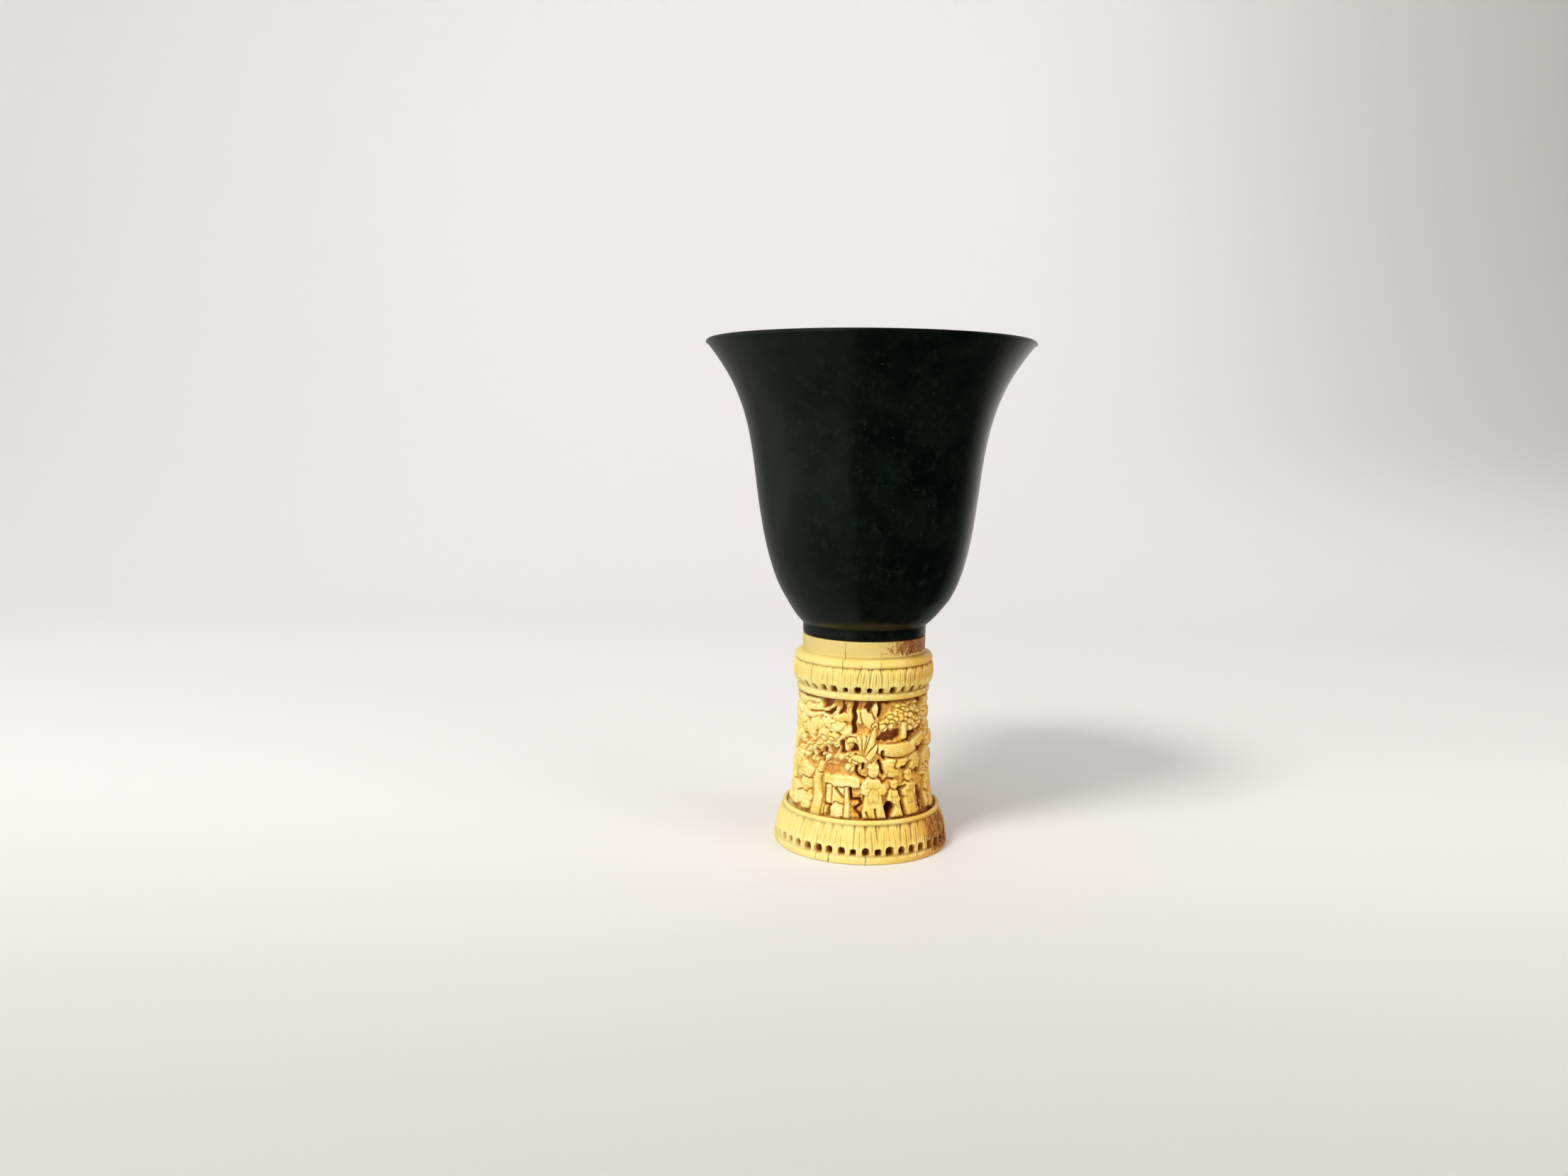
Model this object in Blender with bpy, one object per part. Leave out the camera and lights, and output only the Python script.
"""Jade cup on a turned and carved ivory stand.

Units are metres, +Z is up, and the stand rests on z = 0 with its axis on the Z axis.
Angles of the carving are degrees round the drum, with 0 facing -Y and +90 facing +X.
"""
import math

import bmesh
import bpy
from mathutils import Vector

# Fit between pieces that rest on each other or slip into each other
SEAT_GAP = 0.0003

# Jade cup, with heights above the underside of its foot ring
CUP_HEIGHT = 0.0694
RIM_RADIUS = 0.0390
FLARE_RADIUS = 0.0318
FLARE_HEIGHT = 0.0583
WAIST_RADIUS = 0.0276
WAIST_HEIGHT = 0.0430
BELLY_RADIUS = 0.0250
BELLY_HEIGHT = 0.0245
SHOULDER_RADIUS = 0.0210
SHOULDER_HEIGHT = 0.0110
BOWL_WALL = 0.0024
LIP_WALL = 0.0013
LIP_EASE = 0.0004
BOWL_FLOOR = 0.0036
FLOOR_RADIUS = 0.0095
FLOOR_RISE = 0.0003
FLOOR_EDGE_RADIUS = 0.0134
FLOOR_EDGE_RISE = 0.0011
FOOT_RING_RADIUS = 0.0149
FOOT_RING_HEIGHT = 0.0026
FOOT_RING_WALL = 0.0024
FOOT_RECESS = 0.0018

# Ivory seat plug that closes the neck and centres the foot ring
PLUG_SHANK_RADIUS = 0.0054
SEAT_HEAD_SINK = 0.0020

# Ivory capital: neck, plain ring, leaf band, bead and spigot, from the top down
NECK_RADIUS = 0.0148
NECK_FLARE = 0.0004
NECK_COVE = 0.0008
NECK_HEIGHT = 0.0040
RING_RADIUS = 0.0168
RING_HEIGHT = 0.0020
RING_NOTCH = 0.0004
RING_FACE = 0.0010
RING_ROUNDING = 0.0007
CAPITAL_BAND_RADIUS = 0.0171
CAPITAL_BAND_HEIGHT = 0.0059
CAPITAL_BEAD_RADIUS = 0.0161
CAPITAL_BEAD_HEIGHT = 0.0018
CAPITAL_LEAVES = 36
CAPITAL_LEAF_PHASE = 5.5
CAPITAL_HOLE_RISE = 0.0007
SPIGOT_LENGTH = 0.0030

# Ivory drum, a hollow carved section of tusk
DRUM_HEIGHT = 0.0283
DRUM_TOP_RADIUS = 0.0150
DRUM_PANEL_RADIUS = 0.0162
DRUM_FOOT_RADIUS = 0.0180
DRUM_FOOT_HEIGHT = 0.0016
DRUM_FOOT_SLOPE = 0.0014
DRUM_BORE_RADIUS = 0.0120
RELIEF_HEIGHT = 0.0009
RELIEF_EDGE = 0.0005
RELIEF_ROOT = 0.0008
RECESS_DEPTH = 0.0015
PIERCED_PAST_BORE = 0.0012

# Ivory base: plain fillet, leaf band and bead round the drum's socket
BASE_RADIUS = 0.0213
BASE_EDGE = 0.0005
FILLET_HEIGHT = 0.0019
FILLET_EASE = 0.0002
BASE_BAND_HEIGHT = 0.0069
BASE_SWELL_INSET = 0.0003
BASE_BELLY_INSET = 0.0009
BASE_BEAD_HEIGHT = 0.0011
BASE_BEAD_WALL = 0.0010
BASE_BEAD_ROUNDING = 0.00025
SOCKET_DEPTH = 0.0012
STANDING_RIM = 0.0045
UNDERSIDE_RECESS = 0.0008
BASE_LEAVES = 45
BASE_LEAF_PHASE = 4.0
BASE_HOLE_RISE = 0.0009

# Ivory plug that closes the base from below
BASE_PLUG_RADIUS = 0.0085
BASE_PLUG_THICKNESS = 0.0016

# Leaf bands: the groove between leaves, faint at both ends, and the hole drilled at its foot
LEAF_GROOVE = 0.0005
LEAF_FOOT_GROOVE = 0.0003
LEAF_DEEP_GROOVE = 0.0007
LEAF_TIP_GROOVE = 0.0001
LEAF_HOLE_RADIUS = 0.0008
LEAF_HOLE_DEPTH = 0.0016
LEAF_HOLE_SIDES = 4

# Shares of a moulding's own height at which its outline turns
LEAF_SWELL = 0.25
LEAF_BELLY = 0.62
BEAD_LOW = 0.35
BEAD_HIGH = 0.70
BEAD_ROUNDING = 0.20

# Fineness of the turned surfaces
CUP_SEGMENTS = 48
DRUM_SEGMENTS = 32
PLUG_SEGMENTS = 24
OUTSIDE_STEPS = 3
INSIDE_STEPS = 2
SHARP_ANGLE = 35.0

# Heights and radii worked out from the pieces they fit
BASE_HEIGHT = FILLET_HEIGHT + BASE_BAND_HEIGHT + BASE_BEAD_HEIGHT
DRUM_Z = BASE_HEIGHT - SOCKET_DEPTH + SEAT_GAP
CAPITAL_Z = DRUM_Z + DRUM_HEIGHT + SEAT_GAP
CAPITAL_HEIGHT = CAPITAL_BEAD_HEIGHT + CAPITAL_BAND_HEIGHT + RING_HEIGHT + NECK_HEIGHT
STAND_HEIGHT = CAPITAL_Z + CAPITAL_HEIGHT
CUP_Z = STAND_HEIGHT + SEAT_GAP
SEAT_HEAD_RADIUS = FOOT_RING_RADIUS - FOOT_RING_WALL - SEAT_GAP
PLUG_BORE_RADIUS = PLUG_SHANK_RADIUS + SEAT_GAP
SPIGOT_RADIUS = DRUM_BORE_RADIUS - SEAT_GAP
SOCKET_RADIUS = DRUM_FOOT_RADIUS + SEAT_GAP
BASE_BEAD_RADIUS = SOCKET_RADIUS + BASE_BEAD_WALL

# Colours, roughness and metallic values
JADE = ((0.016, 0.024, 0.018, 1.0), 0.16)
IVORY_PALE = ((0.86, 0.71, 0.36, 1.0), 0.38)
IVORY_WARM = ((0.83, 0.64, 0.28, 1.0), 0.42)
IVORY_INNER = ((0.78, 0.58, 0.27, 1.0), 0.55)

# One scene of the carving, which repeats round the drum. Each form gives its middle as an angle and
# a share of the panel's height, then its width in degrees and its share of the panel's height
SCENE_TURNS = (0.0, 120.0, 240.0)
PINES = (
    (-50.0, 0.89, 19.0, 0.17), (-33.0, 0.80, 17.0, 0.18), (-16.0, 0.81, 15.0, 0.18),
    (-52.0, 0.70, 16.0, 0.16), (-37.0, 0.62, 15.0, 0.14), (-22.0, 0.64, 13.0, 0.13),
)
BUSH_LOBES = 4
BUSHES = ((43.0, 0.87, 22.0, 0.16), (27.0, 0.82, 11.0, 0.12), (-41.0, 0.49, 18.0, 0.11))
ROCK_LOBES = 3
ROCKS = (
    (-53.0, 0.12, 14.0, 0.17), (-53.0, 0.34, 14.0, 0.16), (-19.0, 0.06, 10.0, 0.09), (28.5, 0.45, 13.0, 0.13),
)
SCALLOP = 0.86
FAN_POINTS = 7
FAN_SPREAD = 115.0

# Long leaves: foot and tip, with the half width as a share of the panel's height
LEAF_SPRAY = (
    ((2.0, 0.52), (-8.0, 0.63)), ((4.0, 0.535), (-1.0, 0.73)), ((6.3, 0.535), (7.5, 0.74)),
    ((8.3, 0.52), (14.0, 0.64)), ((1.0, 0.93), (10.5, 0.79)),
)
BLADE_HALF = 0.024
BLADE_TIP = 0.2
BLADE_FULLEST = 0.55

# Tree trunk: its middle line from the root up, and its thickness as a share of the panel's height
TRUNK = ((-38.5, 0.04), (-37.0, 0.15), (-40.0, 0.28), (-38.5, 0.42))
TRUNK_THICKNESS = 0.085
TRUNK_TAPER = 0.45

# Boat with raised ends: middle, length and depth, and how far its keel and rail rise to the ends
BOAT = (39.0, 0.585, 36.0, 0.17)
BOAT_STATIONS = 6
KEEL_DEPTH = 0.55
KEEL_RISE = 0.80
RAIL_DEPTH = 0.10
RAIL_RISE = 0.50

# Bench top and legs
SLABS = ((-17.0, 0.29, 28.0, 0.08), (-27.0, 0.16, 5.0, 0.17), (-10.0, 0.14, 4.5, 0.20))

# Robed figures: half of the robe's outline from the hem up past the sleeves, and the head's share
FIGURES = ((10.5, 0.04, 18.0, 0.46), (30.0, 0.04, 12.0, 0.31), (46.0, 0.04, 14.0, 0.38))
ROBE_OUTLINE = ((1.0, 0.0), (0.62, 0.36), (1.0, 0.43), (0.90, 0.60), (0.34, 0.78))
HEAD_PLACE = 0.89
HEAD_SIZE = (0.44, 0.21)

# Recesses, which lean by a share of their width, and the holes pierced into the hollow
RECESSES = (
    (-33.0, 0.945, 9.0, 0.07, 0.0), (-6.5, 0.86, 3.0, 0.26, 0.0), (6.8, 0.955, 8.0, 0.06, 0.0),
    (18.5, 0.935, 9.0, 0.10, 0.0), (23.0, 0.725, 18.0, 0.06, 0.10), (46.0, 0.725, 12.0, 0.06, 0.10),
    (-20.5, 0.405, 12.0, 0.07, 0.10), (-19.0, 0.18, 9.0, 0.11, 0.0), (-4.0, 0.185, 6.0, 0.11, 0.0),
    (20.0, 0.325, 3.0, 0.15, -0.30),
)
PIERCINGS = ((22.3, 0.09, 3.4, 0.09),)
RECESS_SIDES = 6
OUTLINE_BULGE = 0.6


def material(name, colour, roughness):
    """A plain Principled material in one colour."""
    made = bpy.data.materials.new(name)
    made.use_nodes = True
    shader = made.node_tree.nodes["Principled BSDF"]
    shader.inputs["Base Color"].default_value = colour
    shader.inputs["Roughness"].default_value = roughness
    shader.inputs["Metallic"].default_value = 0.0
    return made


def add_object(name, mesh_maker, finish=None, parent=None):
    """A new object from a bmesh, with its faces pointing out."""
    bmesh.ops.recalc_face_normals(mesh_maker, faces=mesh_maker.faces[:])
    mesh = bpy.data.meshes.new(name)
    mesh_maker.to_mesh(mesh)
    mesh_maker.free()
    made = bpy.data.objects.new(name, mesh)
    bpy.context.scene.collection.objects.link(made)
    made.parent = parent
    if finish:
        mesh.materials.append(material(name + "_finish", *finish))
        mesh.shade_smooth()
        mesh.set_sharp_from_angle(angle=math.radians(SHARP_ANGLE))
    return made


def add_empty(name, height=0.0, parent=None):
    """An empty on the axis, which carries the pieces of one body."""
    made = bpy.data.objects.new(name, None)
    made.location = (0.0, 0.0, height)
    made.parent = parent
    bpy.context.scene.collection.objects.link(made)
    return made


def boolean(target, tool, operation):
    """Cut or join a helper object, which is then hidden."""
    step = target.modifiers.new(tool.name, "BOOLEAN")
    step.object = tool
    step.operation = operation
    step.solver = "EXACT"
    step.use_self = operation == "UNION"
    tool.hide_render = True
    tool.display_type = "WIRE"


def curve_through(stations, steps):
    """Points of a smooth curve through (radius, height) stations."""
    points = [Vector(station) for station in stations]
    points = [points[0] * 2.0 - points[1]] + points + [points[-1] * 2.0 - points[-2]]
    curve = [points[1]]
    for p0, p1, p2, p3 in zip(points, points[1:], points[2:], points[3:]):
        tangent_1 = (p2 - p0) * 0.5
        tangent_2 = (p3 - p1) * 0.5
        for step in range(1, steps + 1):
            t = step / steps
            blend = 3.0 * t ** 2 - 2.0 * t ** 3
            leave = t ** 3 - 2.0 * t ** 2 + t
            arrive = t ** 3 - t ** 2
            curve.append(p1 * (1.0 - blend) + p2 * blend + tangent_1 * leave + tangent_2 * arrive)
    return curve


def offset_inward(curve):
    """Points inside a (radius, height) curve by the bowl's wall, which thins to the lip's wall."""
    inside = []
    last = len(curve) - 1
    for index, point in enumerate(curve):
        along = (curve[min(index + 1, last)] - curve[max(index - 1, 0)]).normalized()
        wall = BOWL_WALL + (LIP_WALL - BOWL_WALL) * (index / last) ** 2
        inside.append(point + Vector((-along.y, along.x)) * wall)
    return inside


def turned(outline, segments):
    """A solid turned from a closed (radius, height) outline that may touch the axis."""
    shape = bmesh.new()
    rings = []
    for radius, height in outline:
        rings.append(ring_of_points(shape, radius, height, segments))
    for lower, upper in zip(rings, rings[1:] + rings[:1]):
        join_rings(shape, lower, upper)
    return shape


def ring_of_points(shape, radius, height, segments, phase=0.0):
    """One turn of vertices, or a single vertex on the axis."""
    if radius == 0.0:
        return [shape.verts.new((0.0, 0.0, height))]
    ring = []
    for index in range(segments):
        angle = phase + 2.0 * math.pi * index / segments
        ring.append(shape.verts.new((radius * math.sin(angle), -radius * math.cos(angle), height)))
    return ring


def join_rings(shape, lower, upper):
    """Faces between two turns, whose counts are equal, differ by a factor of two, or are one."""
    if len(lower) == 1 and len(upper) == 1:
        return
    if len(lower) < len(upper):
        lower, upper = upper, lower
    count = len(lower)
    share = count // len(upper)
    for index in range(count):
        after = (index + 1) % count
        near = upper[(index + 1) // 2 % len(upper)] if share == 2 else None
        if len(upper) == 1:
            shape.faces.new((lower[index], lower[after], upper[0]))
        elif share == 1:
            shape.faces.new((lower[index], lower[after], upper[after], upper[index]))
        else:
            shape.faces.new((lower[index], lower[after], near))
            if index % 2 == 0:
                shape.faces.new((lower[after], upper[(index // 2 + 1) % len(upper)], upper[index // 2]))


def leaf_row(shape, rib_radius, groove, height, leaves, phase):
    """A turn with two vertices to a leaf: one in the groove and one on the leaf's rib."""
    ring = []
    for index in range(2 * leaves):
        radius = rib_radius if index % 2 else rib_radius - groove
        angle = phase + math.pi * index / leaves
        ring.append(shape.verts.new((radius * math.sin(angle), -radius * math.cos(angle), height)))
    return ring


def banded(below, band, above, leaves, phase):
    """A turned solid whose outer side has a leaf band between two plain outlines."""
    shape = bmesh.new()
    rings = []
    for radius, height in below:
        rings.append(ring_of_points(shape, radius, height, leaves, phase))
    for rib_radius, groove, height in band:
        rings.append(leaf_row(shape, rib_radius, groove, height, leaves, phase))
    for radius, height in above:
        rings.append(ring_of_points(shape, radius, height, leaves, phase))
    for lower, upper in zip(rings, rings[1:] + rings[:1]):
        join_rings(shape, lower, upper)
    return shape


def leaf_holes(name, radius, height, leaves, phase):
    """Cutters for the holes at the foot of the grooves, one to a leaf."""
    shape = bmesh.new()
    inner = radius - LEAF_HOLE_DEPTH
    outer = radius + LEAF_HOLE_DEPTH
    for index in range(leaves):
        angle = phase + 2.0 * math.pi * index / leaves
        outward = Vector((math.sin(angle), -math.cos(angle), 0.0))
        across = Vector((math.cos(angle), math.sin(angle), 0.0))
        ends = []
        for reach in (inner, outer):
            end = []
            for side in range(LEAF_HOLE_SIDES):
                turn = 2.0 * math.pi * (side + 0.5) / LEAF_HOLE_SIDES
                sideways = across * (LEAF_HOLE_RADIUS * math.sin(turn))
                upwards = Vector((0.0, 0.0, height + LEAF_HOLE_RADIUS * math.cos(turn)))
                end.append(shape.verts.new(outward * reach + sideways + upwards))
            ends.append(end)
        close_prism(shape, *ends)
    return add_object(name, shape)


def close_prism(shape, inner, outer):
    """Side faces and end faces between two matching outlines."""
    count = len(inner)
    for index in range(count):
        after = (index + 1) % count
        shape.faces.new((inner[index], inner[after], outer[after], outer[index]))
    shape.faces.new(inner[::-1])
    shape.faces.new(outer)


def panel_height(share):
    """Height on the drum's carved panel, from 0 at its foot to 1 under the capital's bead."""
    low = DRUM_Z + DRUM_FOOT_HEIGHT
    high = DRUM_Z + DRUM_HEIGHT
    return low + share * (high - low)


def ground_radius(height):
    """Radius of the ground behind the carving at a height."""
    low = DRUM_Z + DRUM_FOOT_HEIGHT
    share = (height - low) / (DRUM_HEIGHT - DRUM_FOOT_HEIGHT)
    return DRUM_PANEL_RADIUS + (DRUM_TOP_RADIUS - DRUM_PANEL_RADIUS) * share


def degrees_to_share():
    """Share of the panel's height that is as long as one degree round the panel's foot."""
    return math.radians(1.0) * DRUM_PANEL_RADIUS / (DRUM_HEIGHT - DRUM_FOOT_HEIGHT)


def panel_point(shape, degrees, share, depth):
    """A vertex on the drum's panel, at a depth above its ground."""
    height = panel_height(share)
    angle = math.radians(degrees)
    radius = ground_radius(height) + depth
    return shape.verts.new((radius * math.sin(angle), -radius * math.cos(angle), height))


def wrapped(shape, outline, inner, edge, crown, turn):
    """A closed form on the drum: its outline at two depths, with a crowned face on each end."""
    middle = Vector((0.0, 0.0))
    for point in outline:
        middle += Vector(point) / len(outline)
    root = [panel_point(shape, degrees + turn, share, inner) for degrees, share in outline]
    face = [panel_point(shape, degrees + turn, share, edge) for degrees, share in outline]
    root_middle = panel_point(shape, middle.x + turn, middle.y, inner)
    face_middle = panel_point(shape, middle.x + turn, middle.y, crown)
    for index in range(len(outline)):
        after = (index + 1) % len(outline)
        shape.faces.new((root[index], root[after], face[after]))
        shape.faces.new((root[index], face[after], face[index]))
        shape.faces.new((root[after], root[index], root_middle))
        shape.faces.new((face[index], face[after], face_middle))


def wrapped_strip(shape, stations, inner, edge, crown, turn):
    """A closed form on the drum that runs through pairs of points, with a ridge along its middle."""
    rings = []
    for low, high in stations:
        middle = (Vector(low) + Vector(high)) * 0.5
        corners = ((low, inner), (low, edge), (middle, crown), (high, edge), (high, inner))
        rings.append([panel_point(shape, point[0] + turn, point[1], depth) for point, depth in corners])
    for ring, after in zip(rings, rings[1:]):
        for corner in range(len(ring)):
            beside = (corner + 1) % len(ring)
            shape.faces.new((ring[corner], after[corner], after[beside]))
            shape.faces.new((ring[corner], after[beside], ring[beside]))
    for ring in (rings[0], rings[-1]):
        low_root, low_edge, ridge, high_edge, high_root = ring
        shape.faces.new((low_root, low_edge, ridge))
        shape.faces.new((low_root, ridge, high_root))
        shape.faces.new((high_root, ridge, high_edge))


def lobed(degrees, share, width, rise, lobes):
    """Outline of a scalloped clump of leaves or of a rock."""
    outline = []
    for index in range(2 * lobes):
        turn = math.pi * index / lobes
        reach = 0.5 if index % 2 else 0.5 * SCALLOP
        outline.append((degrees + width * reach * math.cos(turn), share + rise * reach * math.sin(turn)))
    return outline


def fan(degrees, share, width, rise):
    """Outline of a spray of pine needles: a foot below a scalloped rim."""
    outline = [(degrees, share - rise * 0.5)]
    for index in range(FAN_POINTS):
        turn = math.radians(FAN_SPREAD) * (1.0 - 2.0 * index / (FAN_POINTS - 1))
        reach = 0.5 * SCALLOP if index % 2 else 0.5
        outline.append((degrees + width * reach * math.sin(turn), share + rise * reach * math.cos(turn)))
    return outline


def lozenge(degrees, share, width, rise, lean=0.0):
    """Outline of a rounded form or recess, leaning by a share of its width."""
    outline = []
    for index in range(RECESS_SIDES):
        turn = 2.0 * math.pi * (index + 0.5) / RECESS_SIDES
        across = math.copysign(abs(math.cos(turn)) ** OUTLINE_BULGE, math.cos(turn)) * 0.5
        upward = math.copysign(abs(math.sin(turn)) ** OUTLINE_BULGE, math.sin(turn)) * 0.5
        outline.append((degrees + width * across, share + rise * upward + lean * rise * across))
    return outline


def oblong(degrees, share, width, rise):
    """Outline of a squared slab."""
    corners = ((-0.5, -0.5), (0.5, -0.5), (0.5, 0.5), (-0.5, 0.5))
    return [(degrees + width * across, share + rise * upward) for across, upward in corners]


def robe(degrees, share, width, rise):
    """Outline of a standing robed figure, without its head."""
    right = [(degrees + width * 0.5 * across, share + rise * upward) for across, upward in ROBE_OUTLINE]
    left = [(2.0 * degrees - angle, height) for angle, height in reversed(right)]
    return right + left


def along_line(points, halves):
    """Pairs of points on both sides of a line on the panel, at half widths in shares of its height."""
    scale = degrees_to_share()
    stations = []
    last = len(points) - 1
    for index, half in enumerate(halves):
        before = points[max(index - 1, 0)]
        after = points[min(index + 1, last)]
        along = Vector(((after[0] - before[0]) * scale, after[1] - before[1])).normalized()
        degrees, share = points[index]
        aside = (-along.y * half / scale, along.x * half)
        stations.append(((degrees + aside[0], share + aside[1]), (degrees - aside[0], share - aside[1])))
    return stations


def leaf_blade(foot, tip):
    """Pairs of points along a pointed leaf."""
    fullest = Vector(foot).lerp(Vector(tip), BLADE_FULLEST)
    narrow = BLADE_HALF * BLADE_TIP
    return along_line((foot, tuple(fullest), tip), (narrow, BLADE_HALF, narrow))


def trunk(points):
    """Pairs of points along a trunk that narrows upwards."""
    last = len(points) - 1
    halves = [0.5 * TRUNK_THICKNESS * (1.0 - TRUNK_TAPER * index / last) for index in range(len(points))]
    return along_line(points, halves)


def crescent(degrees, share, width, rise):
    """Pairs of points along a boat with raised ends, from the keel to the rail."""
    stations = []
    for index in range(BOAT_STATIONS):
        reach = 2.0 * index / (BOAT_STATIONS - 1) - 1.0
        across = degrees + width * 0.5 * reach
        low = share + rise * (KEEL_RISE * reach ** 2 - KEEL_DEPTH)
        high = share + rise * (RAIL_RISE * reach ** 2 + RAIL_DEPTH)
        stations.append(((across, low), (across, high)))
    return stations


def relief_forms():
    """The raised forms of the carving, in every turn of the scene."""
    shape = bmesh.new()
    levels = (-RELIEF_ROOT, RELIEF_EDGE, RELIEF_HEIGHT)
    outlines = [fan(*item) for item in PINES]
    outlines += [lobed(*item, BUSH_LOBES) for item in BUSHES]
    outlines += [lobed(*item, ROCK_LOBES) for item in ROCKS]
    outlines += [oblong(*item) for item in SLABS]
    for degrees, share, width, rise in FIGURES:
        outlines.append(robe(degrees, share, width, rise))
        head_size = (width * HEAD_SIZE[0], rise * HEAD_SIZE[1])
        outlines.append(lozenge(degrees, share + rise * HEAD_PLACE, *head_size))
    strips = [crescent(*BOAT), trunk(TRUNK)]
    strips += [leaf_blade(foot, tip) for foot, tip in LEAF_SPRAY]
    for turn in SCENE_TURNS:
        for outline in outlines:
            wrapped(shape, outline, *levels, turn)
        for stations in strips:
            wrapped_strip(shape, stations, *levels, turn)
    return add_object("drum_forms", shape)


def relief_hollows():
    """Cutters for the recesses and for the holes into the drum's hollow."""
    shape = bmesh.new()
    clear = 2.0 * RELIEF_HEIGHT
    through = DRUM_BORE_RADIUS - PIERCED_PAST_BORE - DRUM_PANEL_RADIUS
    for turn in SCENE_TURNS:
        for item in RECESSES:
            wrapped(shape, lozenge(*item), -RECESS_DEPTH, clear, clear, turn)
        for item in PIERCINGS:
            wrapped(shape, lozenge(*item), through, clear, clear, turn)
    return add_object("drum_hollows", shape)


def make_cup(parent):
    """Turned jade bowl of even wall with an everted rim and a recessed foot ring."""
    outer_stations = (
        (FOOT_RING_RADIUS, FOOT_RING_HEIGHT), (SHOULDER_RADIUS, SHOULDER_HEIGHT),
        (BELLY_RADIUS, BELLY_HEIGHT), (WAIST_RADIUS, WAIST_HEIGHT),
        (FLARE_RADIUS, FLARE_HEIGHT), (RIM_RADIUS, CUP_HEIGHT - LIP_EASE),
    )
    floor = FOOT_RECESS + BOWL_FLOOR
    floor_edge = floor + FLOOR_EDGE_RISE
    ring_inside = FOOT_RING_RADIUS - FOOT_RING_WALL
    foot = [(0.0, FOOT_RECESS), (ring_inside, FOOT_RECESS), (ring_inside, 0.0), (FOOT_RING_RADIUS, 0.0)]
    outside = curve_through(outer_stations, OUTSIDE_STEPS)
    lip = [(RIM_RADIUS - LIP_EASE, CUP_HEIGHT), (RIM_RADIUS - LIP_WALL, CUP_HEIGHT)]
    wall = []
    for radius, height in offset_inward(curve_through(outer_stations, INSIDE_STEPS)):
        if radius > FLOOR_EDGE_RADIUS and floor_edge < height < CUP_HEIGHT - LIP_WALL:
            wall.append((radius, height))
    dish = [(FLOOR_EDGE_RADIUS, floor_edge), (FLOOR_RADIUS, floor + FLOOR_RISE), (0.0, floor)]
    outline = foot + outside + lip + wall[::-1] + dish
    return add_object("jade_cup", turned(outline, CUP_SEGMENTS), JADE, parent)


def make_cup_seat(parent):
    """Turned ivory plug: a shank in the neck's bore and a head that enters the foot ring."""
    head_top = STAND_HEIGHT + FOOT_RECESS
    head_foot = STAND_HEIGHT - SEAT_HEAD_SINK + SEAT_GAP
    shank_foot = CAPITAL_Z - SPIGOT_LENGTH
    outline = [
        (0.0, shank_foot), (PLUG_SHANK_RADIUS, shank_foot), (PLUG_SHANK_RADIUS, head_foot),
        (SEAT_HEAD_RADIUS, head_foot), (SEAT_HEAD_RADIUS, head_top), (0.0, head_top),
    ]
    return add_object("cup_seat", turned(outline, PLUG_SEGMENTS), IVORY_INNER, parent)


def make_capital(parent):
    """Turned ivory capital with a leaf band, drilled holes, and a spigot for the drum's bore."""
    foot = CAPITAL_Z - SPIGOT_LENGTH
    bead_top = CAPITAL_Z + CAPITAL_BEAD_HEIGHT
    band_top = bead_top + CAPITAL_BAND_HEIGHT
    ring_top = band_top + RING_HEIGHT
    swell = bead_top + CAPITAL_BAND_HEIGHT * LEAF_SWELL
    belly = bead_top + CAPITAL_BAND_HEIGHT * LEAF_BELLY
    seat_radius = SEAT_HEAD_RADIUS + SEAT_GAP
    seat_floor = STAND_HEIGHT - SEAT_HEAD_SINK
    below = [
        (PLUG_BORE_RADIUS, foot), (SPIGOT_RADIUS, foot), (SPIGOT_RADIUS, CAPITAL_Z),
        (CAPITAL_BEAD_RADIUS - CAPITAL_BEAD_HEIGHT * BEAD_ROUNDING, CAPITAL_Z),
        (CAPITAL_BEAD_RADIUS, CAPITAL_Z + CAPITAL_BEAD_HEIGHT * BEAD_LOW),
        (CAPITAL_BEAD_RADIUS, CAPITAL_Z + CAPITAL_BEAD_HEIGHT * BEAD_HIGH),
    ]
    band = [
        (CAPITAL_BEAD_RADIUS - LEAF_FOOT_GROOVE, LEAF_FOOT_GROOVE, bead_top),
        (CAPITAL_BAND_RADIUS - LEAF_FOOT_GROOVE, LEAF_DEEP_GROOVE, swell),
        (CAPITAL_BAND_RADIUS, LEAF_GROOVE, belly),
        (RING_RADIUS - RING_NOTCH + LEAF_TIP_GROOVE, LEAF_TIP_GROOVE, band_top),
    ]
    above = [
        (RING_RADIUS, band_top + RING_NOTCH), (RING_RADIUS, band_top + RING_FACE),
        (RING_RADIUS - RING_ROUNDING, ring_top - RING_NOTCH), (NECK_RADIUS + NECK_FLARE, ring_top),
        (NECK_RADIUS, ring_top + NECK_COVE), (NECK_RADIUS, STAND_HEIGHT), (seat_radius, STAND_HEIGHT),
        (seat_radius, seat_floor), (PLUG_BORE_RADIUS, seat_floor),
    ]
    phase = math.radians(CAPITAL_LEAF_PHASE)
    shape = banded(below, band, above, CAPITAL_LEAVES, phase)
    made = add_object("capital", shape, IVORY_PALE, parent)
    hole_height = bead_top + CAPITAL_HOLE_RISE
    holes = leaf_holes("capital_holes", CAPITAL_BEAD_RADIUS, hole_height, CAPITAL_LEAVES, phase)
    boolean(made, holes, "DIFFERENCE")
    return made


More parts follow.
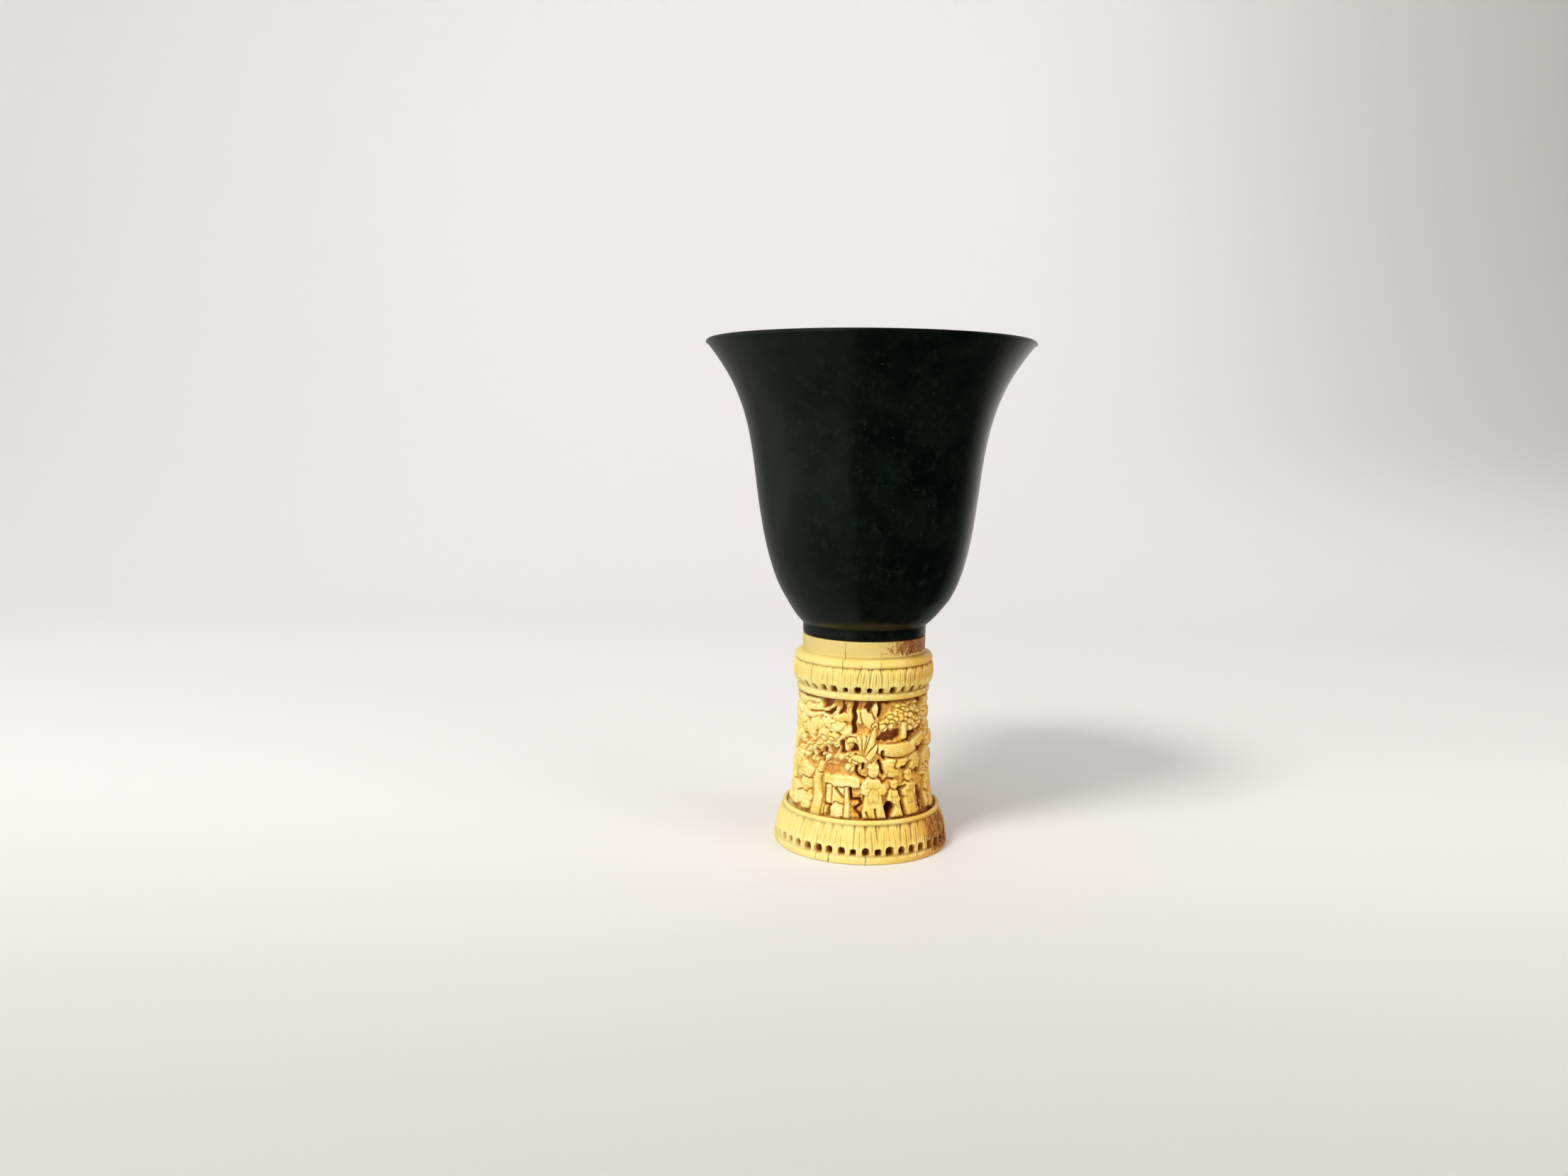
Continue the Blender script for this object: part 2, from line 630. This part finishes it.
def make_drum(parent):
    """Hollow ivory drum with relief forms, recesses and piercings."""
    foot_top = DRUM_Z + DRUM_FOOT_HEIGHT
    slope_top = foot_top + DRUM_FOOT_SLOPE
    top = DRUM_Z + DRUM_HEIGHT
    outline = [
        (DRUM_BORE_RADIUS, DRUM_Z), (DRUM_FOOT_RADIUS, DRUM_Z), (DRUM_FOOT_RADIUS, foot_top),
        (ground_radius(slope_top), slope_top), (DRUM_TOP_RADIUS, top), (DRUM_BORE_RADIUS, top),
    ]
    made = add_object("drum", turned(outline, DRUM_SEGMENTS), IVORY_WARM, parent)
    boolean(made, relief_forms(), "UNION")
    boolean(made, relief_hollows(), "DIFFERENCE")
    return made


def make_base(parent):
    """Turned ivory base with a leaf band, drilled holes, and a beaded socket for the drum."""
    band_top = FILLET_HEIGHT + BASE_BAND_HEIGHT
    swell = FILLET_HEIGHT + BASE_BAND_HEIGHT * LEAF_SWELL
    belly = FILLET_HEIGHT + BASE_BAND_HEIGHT * LEAF_BELLY
    socket_floor = BASE_HEIGHT - SOCKET_DEPTH
    recess_edge = BASE_RADIUS - BASE_EDGE - STANDING_RIM
    plug_pocket = BASE_PLUG_RADIUS + SEAT_GAP
    plug_roof = UNDERSIDE_RECESS + BASE_PLUG_THICKNESS + SEAT_GAP
    below = [
        (PLUG_BORE_RADIUS, plug_roof), (plug_pocket, plug_roof), (plug_pocket, UNDERSIDE_RECESS),
        (recess_edge, UNDERSIDE_RECESS), (recess_edge, 0.0), (BASE_RADIUS - BASE_EDGE, 0.0),
        (BASE_RADIUS, BASE_EDGE), (BASE_RADIUS, FILLET_HEIGHT - FILLET_EASE),
    ]
    band = [
        (BASE_RADIUS - FILLET_EASE, LEAF_FOOT_GROOVE, FILLET_HEIGHT),
        (BASE_RADIUS - BASE_SWELL_INSET, LEAF_DEEP_GROOVE, swell),
        (BASE_RADIUS - BASE_BELLY_INSET, LEAF_GROOVE, belly),
        (BASE_BEAD_RADIUS, LEAF_TIP_GROOVE, band_top),
    ]
    above = [
        (BASE_BEAD_RADIUS, band_top + BASE_BEAD_HEIGHT * BEAD_LOW),
        (BASE_BEAD_RADIUS, band_top + BASE_BEAD_HEIGHT * BEAD_HIGH),
        (BASE_BEAD_RADIUS - BASE_BEAD_ROUNDING, BASE_HEIGHT), (SOCKET_RADIUS, BASE_HEIGHT),
        (SOCKET_RADIUS, socket_floor), (PLUG_BORE_RADIUS, socket_floor),
    ]
    phase = math.radians(BASE_LEAF_PHASE)
    made = add_object("base", banded(below, band, above, BASE_LEAVES, phase), IVORY_PALE, parent)
    hole_height = FILLET_HEIGHT + BASE_HOLE_RISE
    holes = leaf_holes("base_holes", BASE_RADIUS - LEAF_GROOVE, hole_height, BASE_LEAVES, phase)
    boolean(made, holes, "DIFFERENCE")
    return made


def make_base_plug(parent):
    """Turned ivory plug that closes the base's bore from below."""
    head_top = UNDERSIDE_RECESS + BASE_PLUG_THICKNESS
    shank_top = BASE_HEIGHT - SOCKET_DEPTH
    outline = [
        (0.0, UNDERSIDE_RECESS), (BASE_PLUG_RADIUS, UNDERSIDE_RECESS), (BASE_PLUG_RADIUS, head_top),
        (PLUG_SHANK_RADIUS, head_top), (PLUG_SHANK_RADIUS, shank_top), (0.0, shank_top),
    ]
    return add_object("base_plug", turned(outline, PLUG_SEGMENTS), IVORY_INNER, parent)


def main():
    """Clear the scene and make the six pieces."""
    for item in list(bpy.data.objects):
        bpy.data.objects.remove(item, do_unlink=True)
    stand = add_empty("stand_frame")
    lift = add_empty("cup_lift_frame", CUP_Z, stand)
    make_base(stand)
    make_base_plug(stand)
    make_drum(stand)
    make_capital(stand)
    make_cup_seat(stand)
    make_cup(lift)


main()
